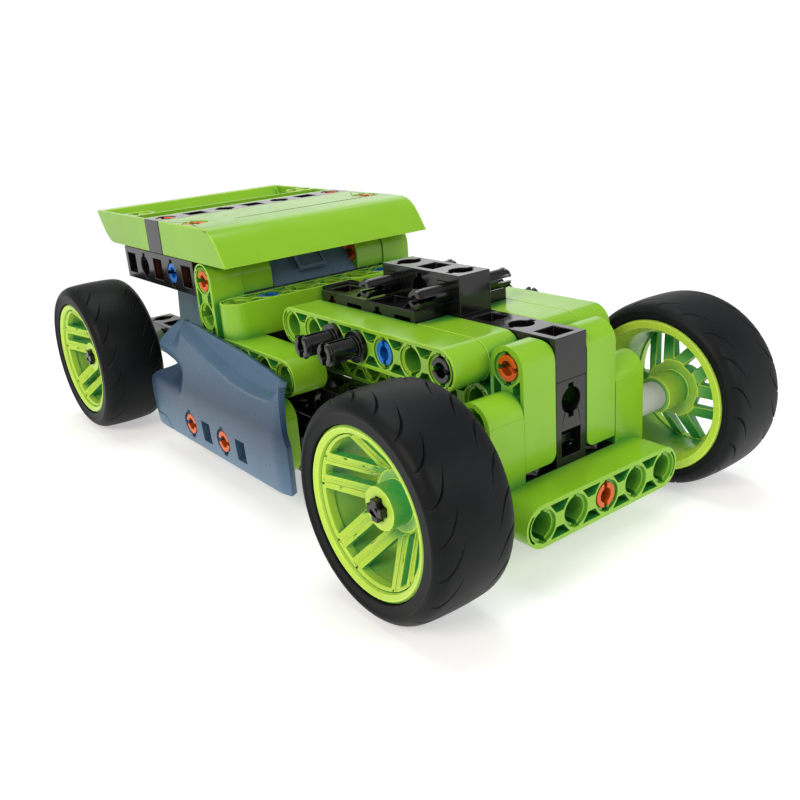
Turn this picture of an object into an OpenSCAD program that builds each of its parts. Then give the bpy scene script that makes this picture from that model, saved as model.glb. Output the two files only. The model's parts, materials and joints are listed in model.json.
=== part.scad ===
// Construction-kit hot rod: beams, frame blocks, pins, cross axles and fairing panels on one square lattice.
// The car's front faces -Y, its right side -X, and the floor is Z = 0.
// Places are given on the lattice as at(x, y, z): x from the middle plane, y back from the grille face,
// z up from the row of holes in the bumper, all in hole pitches.

/* [Lattice] */
// Distance between neighbouring holes (mm)
pitch = 10; // [8:0.5:16]
// Radius of a round hole, in pitches
hole_r = 0.30; // [0.26:0.01:0.31]
// Play left all round a pin in its hole, in pitches
pin_play = 0.008; // [0.005:0.001:0.02]

/* [Wheels] */
// Tyre outer radius, in pitches
tyre_r = 2.4; // [2.2:0.05:2.45]
// Rim outer radius, in pitches
rim_r = 1.83; // [1.7:0.01:1.9]
// Half of the track over the outside of the tyres, in pitches
wheel_out = 5.5; // [5.4:0.05:5.8]
// Spoke pairs on each rim
spoke_pairs = 5; // [4:1:6]

/* [Bodywork] */
// Wall of the moulded shells, in pitches
shell = 0.14; // [0.1:0.01:0.2]
// Thickness of the side fairings, in pitches
fairing_wall = 0.2; // [0.16:0.01:0.24]

/* [Hidden] */
$fn = 48;

lime = "#7fc31c";
black = "#17181a";
slate = "#5f6c80";
orange = "#f06418";
blue = "#1679d8";
pale_grey = "#c9cacb";
rubber = "#202123";

axle_z = 1;
front_axle_y = 0.5;
rear_axle_y = 16.5;
centre_y = (front_axle_y + rear_axle_y) / 2;
ground_z = axle_z - tyre_r;
pin_r = hole_r - pin_play;
notch_w = 0.16;
notch_reach = 0.39;
rim_recess_r = 0.37;
rim_recess_depth = 0.07;
window = 0.62;
pocket_depth = 0.3;
roof_half = 3.5;
wheel_in = 3.5;
hub_r = 0.47;
hub_in = 3.62;
hub_out = wheel_out - 0.44;
axle_end = wheel_out - 0.3;
rim_in_r = rim_r + 0.12;
barrel_r = rim_r - 0.11;
barrel_bore_r = rim_r - 0.23;
dish_wall = 0.2;
dish_hub = wheel_out - 0.93;
dish_edge = wheel_out - 0.16;
dish_foot_r = 0.66;
window_r = barrel_bore_r - 0.04;
spoke_in = 0.14;
spoke_out = 0.41;
engine_side_z = 3.28;
axle_w = 0.48;
axle_t = 0.2;
bush_bore_r = 0.27;
gap = 0.03;
eps = 0.01;

// ---- Placing ----

module at(x, y, z) {
  translate([x * pitch, (y - centre_y) * pitch, (z - ground_z) * pitch]) children();
}

// Turns a beam that runs along +X with its holes along Z.
module lay(run, holes) {
  turn = run == "Y" && holes == "X" ? [90, 0, 90]
    : run == "Y" && holes == "Z" ? [0, 0, 90]
    : run == "X" && holes == "Y" ? [90, 0, 0]
    : run == "Z" && holes == "X" ? [0, -90, 0]
    : run == "Z" && holes == "Y" ? [-90, -90, 0]
    : [0, 0, 0];
  rotate(turn) children();
}

// ---- Holes and pockets, drawn in pitches and scaled once ----

// A round hole with a notch on either side, so that it also takes a key.
module notched_hole_2d() {
  circle(r = hole_r);
  square([notch_w, 2 * notch_reach], center = true);
}

// The same hole through a wall that is depth thick, with a shallow recess round each mouth.
module hole_tool(depth = 1) {
  translate([0, 0, -depth / 2 - eps]) linear_extrude(depth + 2 * eps) notched_hole_2d();
  for (end = [-1, 1])
    translate([0, 0, end * (depth / 2 - rim_recess_depth / 2 + eps)])
      cylinder(r = rim_recess_r, h = rim_recess_depth + 2 * eps, center = true);
}

// The four-sided lightening pocket between two holes of a lime beam, above the middle line.
module pocket_2d() {
  polygon([[-0.29, 0.40], [0.29, 0.40], [0.11, 0.17], [-0.11, 0.17]]);
}

// The crescent round the outside of a beam's last hole.
module end_pocket_2d() {
  difference() {
    intersection() {
      circle(r = 0.445);
      translate([-0.25, 0]) square([0.5, 0.62], center = true);
    }
    circle(r = 0.395);
  }
}

// ---- Lime beams ----

module stadium_2d(cells) {
  for (end = [0, cells - 1]) translate([end, 0]) circle(r = 0.5);
  translate([(cells - 1) / 2, 0]) square([max(cells - 1, eps), 1], center = true);
}

// A beam of so many cells along +X from the first hole, with round ends and pockets in both faces.
module beam(cells, thick = 1) {
  scale(pitch) difference() {
    translate([0, 0, -thick / 2]) linear_extrude(thick) stadium_2d(cells);
    for (i = [0:cells - 1]) translate([i, 0, 0]) hole_tool(thick);
    for (face = [-1, 1])
      translate([0, 0, face > 0 ? thick / 2 - pocket_depth * thick : -thick / 2 - eps])
        linear_extrude(pocket_depth * thick + eps) {
          if (cells > 1) for (i = [0:cells - 2], side = [0, 1])
            translate([i + 0.5, 0]) mirror([0, side]) pocket_2d();
          end_pocket_2d();
          translate([cells - 1, 0]) mirror([1, 0]) end_pocket_2d();
        }
  }
}

// ---- Black frame beams ----

// One cell: a round hole one way and a square window the other way.
module frame_cell_tool(turned) {
  rotate(turned ? [90, 0, 0] : [0, 0, 0]) {
    translate([0, 0, -0.5 - eps]) linear_extrude(1 + 2 * eps) notched_hole_2d();
    cube([window, 1 + 2 * eps, window], center = true);
  }
}

// A square beam along +X whose cells turn by a quarter from one to the next.
// Where first_turned is false, the first cell's round hole runs along Z.
module frame_beam(cells, first_turned = false) {
  scale(pitch) difference() {
    translate([-0.5 + gap / 4, -0.5, -0.5]) cube([cells - gap / 2, 1, 1]);
    for (i = [0:cells - 1]) translate([i, 0, 0]) frame_cell_tool(first_turned != (i % 2 == 1));
  }
}

// ---- Pins, pegs, axles ----

// A push-in pin along +Z from the face it is pressed into: its head is bored and split across.
module pin(length) {
  split_depth = 0.26;
  scale(pitch) difference() {
    translate([0, 0, -length]) cylinder(r = pin_r, h = length - 0.02);
    translate([0, 0, -split_depth]) cylinder(r = 0.17, h = split_depth + eps);
    translate([0, 0, -split_depth / 2]) cube([0.11, 2 * pin_r + 0.1, split_depth + 2 * eps], center = true);
  }
}

// A long peg along +Z: a plain root in the beam, a collar at its face and a split end one pitch out.
module peg(root) {
  scale(pitch) difference() {
    union() {
      translate([0, 0, -root]) cylinder(r = pin_r - 0.02, h = root + 0.1);
      translate([0, 0, 0.01]) cylinder(r = 0.4, h = 0.13);
      cylinder(r = 0.27, h = 0.98);
      translate([0, 0, 0.86]) cylinder(r1 = 0.27, r2 = 0.31, h = 0.06);
      translate([0, 0, 0.92]) cylinder(r1 = 0.31, r2 = 0.27, h = 0.08);
    }
    translate([0, 0, 0.66]) cube([0.8, 0.15, 0.8], center = true);
    translate([0, 0, 0.3]) cylinder(r = 0.14, h = 1);
  }
}

// A cross-section axle along X through the middle plane.
module cross_axle() {
  scale(pitch) rotate([0, 90, 0]) {
    for (turn = [0, 90]) rotate(turn)
      linear_extrude(2 * axle_end, center = true) square([axle_w, axle_t], center = true);
    cylinder(r = 0.16, h = 2 * axle_end, center = true);
  }
}

// The two loose bushes between the frame and the hubs.
module bushes(inner) {
  for (side = [-1, 1]) scale(pitch) translate([side * (inner + hub_in) / 2, 0, 0]) rotate([0, 90, 0])
    difference() {
      cylinder(r = 0.37, h = hub_in - inner - gap, center = true);
      cylinder(r = bush_bore_r, h = 2, center = true);
    }
}

// ---- Wheels: drawn about +Z from the middle of the car outwards, in pitches ----

// Half section of the dish: a flat foot round the hub, then a cone out to the barrel.
module dish_2d() {
  polygon([
    [hub_r - 0.02, dish_hub - dish_wall], [dish_foot_r + 0.08, dish_hub - dish_wall],
    [barrel_bore_r + 0.02, dish_edge - dish_wall], [barrel_bore_r + 0.02, dish_edge],
    [dish_foot_r, dish_hub], [hub_r - 0.02, dish_hub]
  ]);
}

// A slot between the two spokes of each pair, and a wedge between one pair and the next.
module spoke_windows() {
  for (k = [0:spoke_pairs - 1]) {
    rotate(k * 360 / spoke_pairs) intersection() {
      translate([1, 0]) square([1.4, 2 * spoke_in], center = true);
      difference() {
        circle(r = window_r);
        circle(r = dish_foot_r + 0.04);
      }
    }
    rotate((k + 0.5) * 360 / spoke_pairs) intersection() {
      circle(r = window_r);
      wedge(180 / spoke_pairs, spoke_out);
    }
  }
}

// A shallow groove along the middle of every spoke, which leaves its two edges raised.
module spoke_grooves() {
  groove_w = 0.09;
  groove_d = 0.045;
  middle = (dish_foot_r + window_r) / 2;
  intersection() {
    translate([0, 0, dish_hub]) linear_extrude(1)
      for (k = [0:spoke_pairs - 1]) rotate(k * 360 / spoke_pairs) for (edge = [-1, 1])
        translate([middle, edge * (spoke_in + spoke_out) / 2])
          square([window_r - dish_foot_r, groove_w], center = true);
    rotate_extrude() polygon([
      [dish_foot_r, dish_hub - groove_d], [barrel_bore_r, dish_edge - groove_d],
      [barrel_bore_r, dish_edge + 0.5], [dish_foot_r, dish_edge + 0.5]
    ]);
  }
}

// The space between two spoke pairs: a wedge pulled out until its sides clear both by offset_by.
module wedge(half_angle, offset_by) {
  start = offset_by / sin(half_angle) + 0.08;
  reach = 3;
  polygon([
    [start, 0],
    [start + reach, reach * tan(half_angle)],
    [start + reach, -reach * tan(half_angle)]
  ]);
}

// Half section of the barrel, with a bead seat and a rolled lip at either end.
module barrel_2d() {
  polygon([
    [rim_in_r - 0.2, wheel_in + 0.02], [rim_in_r - 0.03, wheel_in + 0.02], [rim_in_r, wheel_in + 0.06],
    [rim_in_r, wheel_in + 0.12], [barrel_r, wheel_in + 0.3], [barrel_r, wheel_out - 0.24],
    [rim_r, wheel_out - 0.18], [rim_r, wheel_out - 0.1], [rim_r - 0.06, wheel_out - 0.05],
    [rim_r - 0.17, wheel_out - 0.1], [barrel_bore_r, wheel_out - 0.3], [barrel_bore_r, wheel_in + 0.3]
  ]);
}

module rim() {
  scale(pitch) difference() {
    rotate_extrude($fn = 96) {
      barrel_2d();
      dish_2d();
      translate([0.2, hub_in]) square([hub_r - 0.2, hub_out - hub_in]);
    }
    translate([0, 0, dish_hub - 0.3]) linear_extrude(1.3) spoke_windows();
    spoke_grooves();
    for (turn = [0, 90]) rotate(turn)
      translate([0, 0, wheel_in]) linear_extrude(2) square([axle_w + 0.02, axle_t + 0.02], center = true);
  }
}

// Tread line: a crowned top between two rounded shoulders.
function tread_point(t) =
  let (half = (wheel_out - wheel_in) / 2, mid = (wheel_out + wheel_in) / 2)
  [tyre_r - 0.05 * t * t - 0.16 * pow(abs(t), 9), mid + half * 0.98 * t];

module tyre() {
  seat_r = barrel_r + 0.02;
  bead_r = rim_r + 0.02;
  bead_in_r = rim_in_r + 0.02;
  side_r = tyre_r - 0.23;
  scale(pitch) rotate_extrude($fn = 96) polygon(concat(
    [for (t = [-1:0.125:1]) tread_point(t)],
    [
      [side_r, wheel_out], [bead_r, wheel_out - 0.03], [bead_r, wheel_out - 0.25],
      [seat_r, wheel_out - 0.3], [seat_r, wheel_in + 0.34], [bead_in_r, wheel_in + 0.15],
      [bead_in_r, wheel_in + 0.03], [side_r, wheel_in]
    ]
  ));
}

module wheel_side(side, y) {
  at(0, y, axle_z) rotate([0, 90 * side, 0]) children();
}

// ---- Nose ----

module front_fork() {
  color(lime) {
    at(-2, -0.5, 0) lay("X", "Y") beam(5);
    for (side = [-1, 1]) at(side * 2, front_axle_y, 0) scale(pitch) difference() {
      union() {
        rotate([0, 90, 0]) translate([-2, 0, 0]) cylinder(r = 0.5, h = 1, center = true);
        translate([-0.5, -0.5 - eps, -0.5]) cube([1, 1 + eps, 2.5]);
      }
      for (z = [1, 2]) translate([0, 0, z]) rotate([0, 90, 0]) rotate(90) hole_tool();
      translate([side * (-0.5 + pocket_depth / 2 - eps), 0, 1.5]) for (edge = [-1, 1])
        rotate([90, 0, 90]) linear_extrude(pocket_depth + eps, center = true)
          rotate(90) mirror([0, edge > 0 ? 1 : 0]) pocket_2d();
    }
  }
}

module bumper_beam() {
  color(black) at(-1, 0.5, 0) lay("X", "Y") frame_beam(3, true);
}

module grille_post() {
  color(black) at(0, 0.5, 1) scale(pitch) difference() {
    translate([-0.485, -0.485, -0.5]) cube([0.97, 0.985, 2]);
    rotate([0, 90, 0]) cylinder(r = hole_r, h = 2, center = true);
    cube([window, 1.1, window], center = true);
    translate([0, 0, 1]) rotate([90, 0, 0]) linear_extrude(1.1, center = true) notched_hole_2d();
    translate([0, 0, 1]) cube([1.1, window, window], center = true);
  }
}

module grille_panel(side) {
  color(lime) at(side, front_axle_y, 2) scale(pitch) difference() {
    intersection() {
      union() {
        translate([0, 0, 1]) rotate([0, 90, 0]) cylinder(r = 0.5, h = 1, center = true);
        translate([-0.5, -0.5, -1.3]) cube([1, 1, 2.3]);
      }
      rotate([90, 0, 0]) linear_extrude(2, center = true) panel_front_2d(side);
    }
    for (z = [-1, 0, 1]) translate([0, 0, z]) rotate([0, 90, 0]) rotate(90) hole_tool();
    translate([side * (0.5 - pocket_depth / 2 + eps), 0, 0.5]) for (edge = [-1, 1])
      rotate([90, 0, 90]) linear_extrude(pocket_depth + eps, center = true)
        rotate(90) mirror([0, edge > 0 ? 1 : 0]) pocket_2d();
  }
}

// Front outline of a grille panel: its two corners beside the post are rounded.
module panel_front_2d(side) {
  corner = 0.22;
  mirror([side > 0 ? 1 : 0, 0]) translate([0, 0.1]) {
    translate([-0.485, -1.4]) square([0.97 - corner, 2.8]);
    translate([-0.485, -1.4 + corner]) square([0.97, 2.8 - 2 * corner]);
    for (end = [-1, 1]) translate([0.485 - corner, end * (1.4 - corner)]) circle(r = corner);
  }
}

// ---- Hood ----

module hood_centre_beam() {
  color(black) at(0, 0.5, 3) lay("Y", "Z") frame_beam(9, true);
}

module hood_side_beam(side) {
  color(lime) at(side * 2, 1.5, 3) lay("Y", "X") beam(7);
}

// A short hood filler beside the centre beam, with the same rounded nose as the side beam.
module hood_panel(side) {
  color(lime) at(side, 1.5, 3) scale(pitch) difference() {
    union() {
      rotate([0, 90, 0]) cylinder(r = 0.5, h = 0.97, center = true);
      translate([-0.485, 0, -0.5]) cube([0.97, 1.97, 1]);
    }
    translate([-0.38, 0.1, -0.5 - eps]) cube([0.76, 1.77, 0.85]);
    rotate([0, 90, 0]) cylinder(r = hole_r, h = 2, center = true);
  }
}

module hood_inner_beam(side) {
  color(lime) at(side, 1.5, 2) lay("Y", "X") beam(8);
}

// ---- Engine ----

module engine_block() {
  color(black) at(0, 3.5, 4) lay("Y", "Z") frame_beam(3);
}

// A beam half a pitch out of step with the hood, low enough to clear the pegs over it.
module engine_side_beam(side) {
  color(black) at(side, 4, engine_side_z) lay("Y", "X") frame_beam(4, true);
}

// Pegs with a square root in the block's window and a fluted, split stem one pitch long.
module engine_pegs() {
  root = 0.45;
  root_w = window - 2 * pin_play;
  color(black) for (side = [-1, 1], y = [3.5, 5.5]) {
    at(side * (0.5 - root / 2), y, 4) scale(pitch) cube([root, root_w, root_w], center = true);
    at(side * 0.5, y, 4.05) rotate([0, 90 * side, 0]) rotate(90) engine_peg_stem();
  }
}

module engine_peg_stem() {
  stem_r = 0.24;
  scale(pitch) difference() {
    union() {
      translate([0, 0, -0.1]) cylinder(r = stem_r, h = 0.97);
      translate([0, 0, 0.86]) cylinder(r1 = stem_r, r2 = stem_r + 0.02, h = 0.05);
      translate([0, 0, 0.91]) cylinder(r1 = stem_r + 0.02, r2 = stem_r - 0.02, h = 0.08);
    }
    translate([0, 0, 0.8]) cube([0.8, 0.11, 0.6], center = true);
    translate([0, 0, 0.3]) cylinder(r = 0.12, h = 1);
    for (turn = [0:90:270])
      rotate(turn + 45) translate([stem_r + 0.03, 0, 0.5]) cube([0.1, 0.1, 0.9], center = true);
  }
}

module exhaust_pegs() {
  color(black) for (side = [-1, 1], y = [4.5, 5.5])
    at(side * 2.5, y, 3) rotate([0, 90 * side, 0]) peg(0.95);
}

// ---- Cabin ----

module cowl_beam() {
  color(lime) at(-3, 9.5, 3) lay("X", "Z") beam(7);
}

module cabin_cross_beam() {
  color(black) at(-2, 9.5, 2) lay("X", "Z") frame_beam(5);
}

// A leaning pane with an air scoop on its face.
module windscreen() {
  color(slate) at(0, 10, 3.5) scale(pitch) {
    rotate([90, 0, 90]) linear_extrude(2.9, center = true)
      polygon([[0.06, 0.02], [0.2, 0.02], [1.1, 1], [0.96, 1]]);
    difference() {
      rotate([90, 0, 90]) linear_extrude(0.98, center = true)
        polygon([[0.32, 0.3], [0.17, 0.36], [0.55, 0.86], [0.84, 0.86]]);
      rotate([90, 0, 90]) linear_extrude(0.8, center = true)
        polygon([[0.3, 0.42], [0.1, 0.46], [0.47, 0.8], [0.64, 0.8]]);
    }
  }
}

// A rear pane with a cheek at either end, under the roof rails.
module rear_window() {
  half = 2.45;
  color(slate) at(0, 13, 1.6) scale(pitch) difference() {
    rotate([90, 0, 90]) linear_extrude(2 * half, center = true)
      polygon([[0, 0.5], [0.5, 0], [2, 0], [1.7, 1.88], [0, 1.88]]);
    rotate([90, 0, 90]) linear_extrude(2 * (half - shell), center = true)
      polygon([[-0.1, -0.1], [1.83, -0.1], [1.54, 1.98], [-0.1, 1.98]]);
    for (side = [-1, 1]) translate([side * half, 0.62, 0.9]) cube([0.05, 0.03, 2], center = true);
  }
}

module pillar(side) {
  color(lime) at(side * 3, 10.5, 2) lay("Z", "X") beam(3);
}

module pillar_tube(side) {
  color(lime) at(side * 2, 10.5, 4) scale(pitch) difference() {
    union() {
      rotate([0, 90, 0]) cylinder(r = 0.46, h = 0.97, center = true);
      translate([0, 0, -0.23]) cube([0.97, 0.92, 0.46], center = true);
    }
    rotate([0, 90, 0]) rotate(90) hole_tool(0.97);
  }
}

// ---- Roof ----

module roof_rail(side) {
  color(black) at(side * 3, 11.5, 4) lay("Y", "Z") frame_beam(5);
}

module roof_centre_beam() {
  color(black) at(-3, 13.5, 5) lay("X", "Z") frame_beam(7);
}

// Side outline of a roof panel, tip at the origin and flat back at y = 4:
// a straight nose, then an arc of radius bend tangent to the flat top.
function roof_outline(inset) =
  let (lean = 56, bend = 1, centre = [(bend + (1 - bend) * cos(lean)) / sin(lean), 1 - bend])
  concat(
    [[inset * 1.9, inset]],
    [for (a = [90 + lean:-8:90]) centre + (bend - inset) * [cos(a), sin(a)]],
    [[4 - inset, 1 - inset], [4 - inset, inset]]);

// A hollow panel 7 pitches wide with a solid block and a hole at either end.
module roof_shell() {
  half = roof_half - 0.015;
  scale(pitch) difference() {
    rotate([90, 0, 90]) linear_extrude(2 * half, center = true) roof_side_2d(0);
    difference() {
      translate([0, 0, -shell - eps]) rotate([90, 0, 90])
        linear_extrude(2 * (half - shell), center = true) roof_side_2d(shell);
      for (side = [-1, 1]) translate([side * 3, 2.5, 0]) {
        cylinder(r = 0.46, h = 3, center = true);
        translate([side * 0.25, 0, 0]) cube([0.5, 0.92, 3], center = true);
      }
      translate([0, 3, 0]) cube([2 * half, shell * 0.7, 3], center = true);
    }
    for (side = [-1, 1]) translate([side * 3, 2.5, 0.5]) {
      translate([0, 0, -0.6]) linear_extrude(1.2) notched_hole_2d();
      for (end = [-1, 1]) translate([0, 0, end * 0.5]) cylinder(r = rim_recess_r, h = 0.1, center = true);
    }
  }
}

module roof_side_2d(inset) {
  polygon(roof_outline(inset));
}

module roof_front_panel() {
  color(lime) at(0, 9, 4.5) difference() {
    roof_shell();
    scale(pitch) translate([0.65, 2.05, 1]) cube([5.2, 0.03, 0.06], center = true);
  }
}

module roof_rear_panel() {
  color(lime) at(0, 18, 5.5) rotate([180, 0, 0]) roof_shell();
}

// ---- Doors and sills ----

module door_beam(side) {
  color(lime) at(side * 3, 6.5, 2) lay("Y", "X") beam(4);
}

module door_post(side) {
  color(lime) at(side * (3.5 + gap + 0.22), 6.5, 0) lay("Z", "X") beam(2, 0.44);
}

module sill_beam(side) {
  color(black) at(side * 3, 6.5, 0) lay("Y", "X") frame_beam(7);
}

// Cross-section of a side fairing, outer skin towards +X: upright below, leaning in above its crease.
module fairing_section_2d() {
  crease_z = 1;
  top_z = 2.85;
  lean = 0.4;
  polygon([
    [4.5 - fairing_wall, -0.6], [4.5, -0.6], [4.5, crease_z],
    [4.5 - lean * (top_z - crease_z), top_z],
    [4.5 - fairing_wall - lean * (top_z - crease_z), top_z], [4.5 - fairing_wall, crease_z]
  ]);
}

// Side outline of a fairing, back from the grille face and up from the bumper holes.
module fairing_outline_2d() {
  polygon([
    [5.0, -0.6], [13.4, -0.6], [13.35, 0.5], [12.85, 1.05], [11.4, 1.1], [10.75, 1.3], [11.1, 1.55],
    [12.3, 1.45], [12.65, 1.8], [12.1, 2.65], [11.0, 2.78], [10.6, 2.5], [7.75, 2.35], [5.5, 2.1], [5.2, 1.2]
  ]);
}

module side_fairing(side) {
  color(slate) mirror([side < 0 ? 1 : 0, 0, 0]) at(0, 0, 0) scale(pitch) difference() {
    union() {
      intersection() {
        translate([0, 14, 0]) rotate([90, 0, 0]) linear_extrude(10) fairing_section_2d();
        rotate([90, 0, 90]) linear_extrude(6) fairing_outline_2d();
      }
      for (y = [8.5, 10.5]) translate([3.5 + gap, y, 0]) rotate([0, 90, 0])
        cylinder(r = 0.42, h = 1 - fairing_wall);
    }
    for (y = [8.5, 10.5]) translate([4, y, 0]) rotate([0, 90, 0]) rotate(90)
      linear_extrude(2, center = true) notched_hole_2d();
    for (y = [7.5, 9.5]) translate([4.35, y, 0]) cube([1, 0.44, 0.62], center = true);
  }
}

// ---- Chassis ----

module chassis_rail(side) {
  color(black) at(side * 2, 1.5, axle_z) lay("Y", "X") frame_beam(17, true);
}

module chassis_cross_middle() {
  color(black) at(-2, 8.5, 0) lay("X", "Z") frame_beam(5);
}

module chassis_cross_rear() {
  color(black) at(-2, 12.5, 0) lay("X", "Z") frame_beam(5);
}

// ---- Pins ----

module orange_pins() {
  color(orange) {
    at(0, -1, 0) rotate([90, 0, 0]) pin(1.95);
    for (side = [-1, 1]) {
      at(side * 1.5, front_axle_y, 3) rotate([0, 90 * side, 0]) pin(1.4);
      at(side * 3.5, 10.5, 4) rotate([0, 90 * side, 0]) pin(0.95);
      at(side * 1.52, 10.5, 4) rotate([0, -90 * side, 0]) pin(0.95);
      at(side * 1.3, 7, engine_side_z) rotate([0, 90 * side, 0]) pin(0.75);
      for (y = [8.5, 10.5]) at(side * 4.5, y, 0) rotate([0, 90 * side, 0]) pin(1.95);
      for (y = [11.5, 13.5]) at(side * 3, y, 5.5) pin(1.95);
    }
  }
}

module blue_pins() {
  color(blue) for (side = [-1, 1]) {
    at(side * 2.5, 3.5, 3) rotate([0, 90 * side, 0]) rotate(90) pin(0.95);
    at(side * 3.5, 12.5, 4) rotate([0, 90 * side, 0]) pin(0.95);
    at(side * 2, 9.5, 3.5) pin(1.95);
  }
}

module black_pins() {
  color(black) for (side = [-1, 1]) {
    at(side * 2.5, 1.5, 3) rotate([0, 90 * side, 0]) pin(1.95);
    at(side * (3.94 + gap), 6.5, 0) rotate([0, 90 * side, 0]) rotate(90) pin(1.3);
  }
}

// ---- What is drawn ----

front_fork();
bumper_beam();
grille_post();
grille_panel(-1);  // grille_panel_right
grille_panel(1);  // grille_panel_left
hood_centre_beam();
hood_side_beam(-1);  // hood_side_beam_right
hood_side_beam(1);  // hood_side_beam_left
hood_panel(-1);  // hood_panel_right
hood_panel(1);  // hood_panel_left
hood_inner_beam(-1);  // hood_inner_beam_right
hood_inner_beam(1);  // hood_inner_beam_left
engine_block();
engine_side_beam(-1);  // engine_side_beam_right
engine_side_beam(1);  // engine_side_beam_left
engine_pegs();
exhaust_pegs();
cowl_beam();
cabin_cross_beam();
windscreen();
rear_window();
pillar(-1);  // pillar_right
pillar(1);  // pillar_left
pillar_tube(-1);  // pillar_tube_right
pillar_tube(1);  // pillar_tube_left
roof_rail(-1);  // roof_rail_right
roof_rail(1);  // roof_rail_left
roof_front_panel();
roof_centre_beam();
roof_rear_panel();
door_beam(-1);  // door_beam_right
door_beam(1);  // door_beam_left
door_post(-1);  // door_post_right
door_post(1);  // door_post_left
side_fairing(-1);  // side_fairing_right
side_fairing(1);  // side_fairing_left
sill_beam(-1);  // sill_beam_right
sill_beam(1);  // sill_beam_left
chassis_rail(-1);  // chassis_rail_right
chassis_rail(1);  // chassis_rail_left
chassis_cross_middle();
chassis_cross_rear();
orange_pins();
blue_pins();
black_pins();
color(black) at(0, front_axle_y, axle_z) cross_axle();  // front_axle
color(pale_grey) at(0, front_axle_y, axle_z) bushes(2.5 + gap);  // front_bushes
color(lime) wheel_side(-1, front_axle_y) rim();  // front_rim_right
color(lime) wheel_side(1, front_axle_y) rim();  // front_rim_left
color(rubber) wheel_side(-1, front_axle_y) tyre();  // front_tyre_right
color(rubber) wheel_side(1, front_axle_y) tyre();  // front_tyre_left
color(black) at(0, rear_axle_y, axle_z) cross_axle();  // rear_axle
color(pale_grey) at(0, rear_axle_y, axle_z) bushes(2.5 + gap);  // rear_bushes
color(lime) wheel_side(-1, rear_axle_y) rim();  // rear_rim_right
color(lime) wheel_side(1, rear_axle_y) rim();  // rear_rim_left
color(rubber) wheel_side(-1, rear_axle_y) tyre();  // rear_tyre_right
color(rubber) wheel_side(1, rear_axle_y) tyre();  // rear_tyre_left
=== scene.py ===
"""Builds the looks of a construction-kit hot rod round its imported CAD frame."""

import json
import math

import bmesh
import bpy
import numpy as np
from bpy.props import FloatProperty, FloatVectorProperty, IntProperty, PointerProperty
from bpy.types import Operator, Panel, PropertyGroup
from mathutils import Matrix, Vector


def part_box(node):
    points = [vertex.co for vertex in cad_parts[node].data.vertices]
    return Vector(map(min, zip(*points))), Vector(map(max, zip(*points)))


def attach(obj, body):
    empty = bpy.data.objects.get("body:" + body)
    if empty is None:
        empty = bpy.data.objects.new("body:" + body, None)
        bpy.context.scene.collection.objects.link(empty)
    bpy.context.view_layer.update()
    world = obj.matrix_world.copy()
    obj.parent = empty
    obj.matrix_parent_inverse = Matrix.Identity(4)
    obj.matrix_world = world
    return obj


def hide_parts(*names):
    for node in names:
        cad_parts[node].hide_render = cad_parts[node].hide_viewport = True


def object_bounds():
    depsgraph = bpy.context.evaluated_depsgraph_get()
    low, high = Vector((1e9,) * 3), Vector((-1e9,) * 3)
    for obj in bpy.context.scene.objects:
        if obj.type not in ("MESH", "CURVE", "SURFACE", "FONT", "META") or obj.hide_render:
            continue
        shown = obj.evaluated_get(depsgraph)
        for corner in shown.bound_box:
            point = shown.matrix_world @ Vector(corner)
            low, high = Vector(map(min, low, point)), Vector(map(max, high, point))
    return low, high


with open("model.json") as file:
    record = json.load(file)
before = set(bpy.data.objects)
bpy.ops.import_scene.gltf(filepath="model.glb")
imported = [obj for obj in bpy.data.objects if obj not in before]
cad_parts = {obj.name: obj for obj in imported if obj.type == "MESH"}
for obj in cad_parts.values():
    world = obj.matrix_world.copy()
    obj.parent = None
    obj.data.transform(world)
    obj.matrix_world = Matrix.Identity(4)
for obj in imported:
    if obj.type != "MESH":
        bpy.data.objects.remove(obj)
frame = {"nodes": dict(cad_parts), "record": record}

bl_info = {
    "name": "Kit hot rod",
    "version": (1, 0, 0),
    "blender": (4, 5, 0),
    "location": "3D View > Sidebar > Kit hot rod",
    "description": "Makes the moulded pieces, tyres, fairings and stage of a construction-kit hot rod",
    "category": "Object",
}

# ---- The lattice that every part sits on, read from the frame ----

CAD_LOW, CAD_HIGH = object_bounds()
FORK_LOW, FORK_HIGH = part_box("front_fork")
BUMPER_LOW, BUMPER_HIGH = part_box("bumper_beam")
PITCH = (FORK_HIGH.x - FORK_LOW.x) / 5
FACE_Y = BUMPER_LOW.y
ROW_Z = (BUMPER_LOW.z + BUMPER_HIGH.z) / 2
RECORD = frame["record"]
BODY_OF = {node: body for body, nodes in RECORD["behaviour"]["bodies"].items() for node in nodes}
SLOT_OF = {part["node"]: part["material_slot"] for part in RECORD["subparts"]}
SIDES = {"right": -1, "left": 1}


def lattice(x, y, z):
    """Point in metres for a place on the lattice, or an array of points for arrays of places."""
    x, y, z = np.broadcast_arrays(np.float64(x), np.float64(y), np.float64(z))
    return np.stack([x * PITCH, FACE_Y + y * PITCH, ROW_Z + z * PITCH], -1)


def nodes_in(slot):
    """Names of the CAD nodes whose material slot is this one."""
    return sorted(node for node, its_slot in SLOT_OF.items() if its_slot == slot)


def smooth_step(low, high, value):
    """0 below low, 1 above high, and the cubic 3t^2 - 2t^3 between."""
    t = np.clip((value - low) / (high - low), 0, 1)
    return t * t * (3 - 2 * t)


# ---- Sizes and colours that a user would change ----


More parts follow.
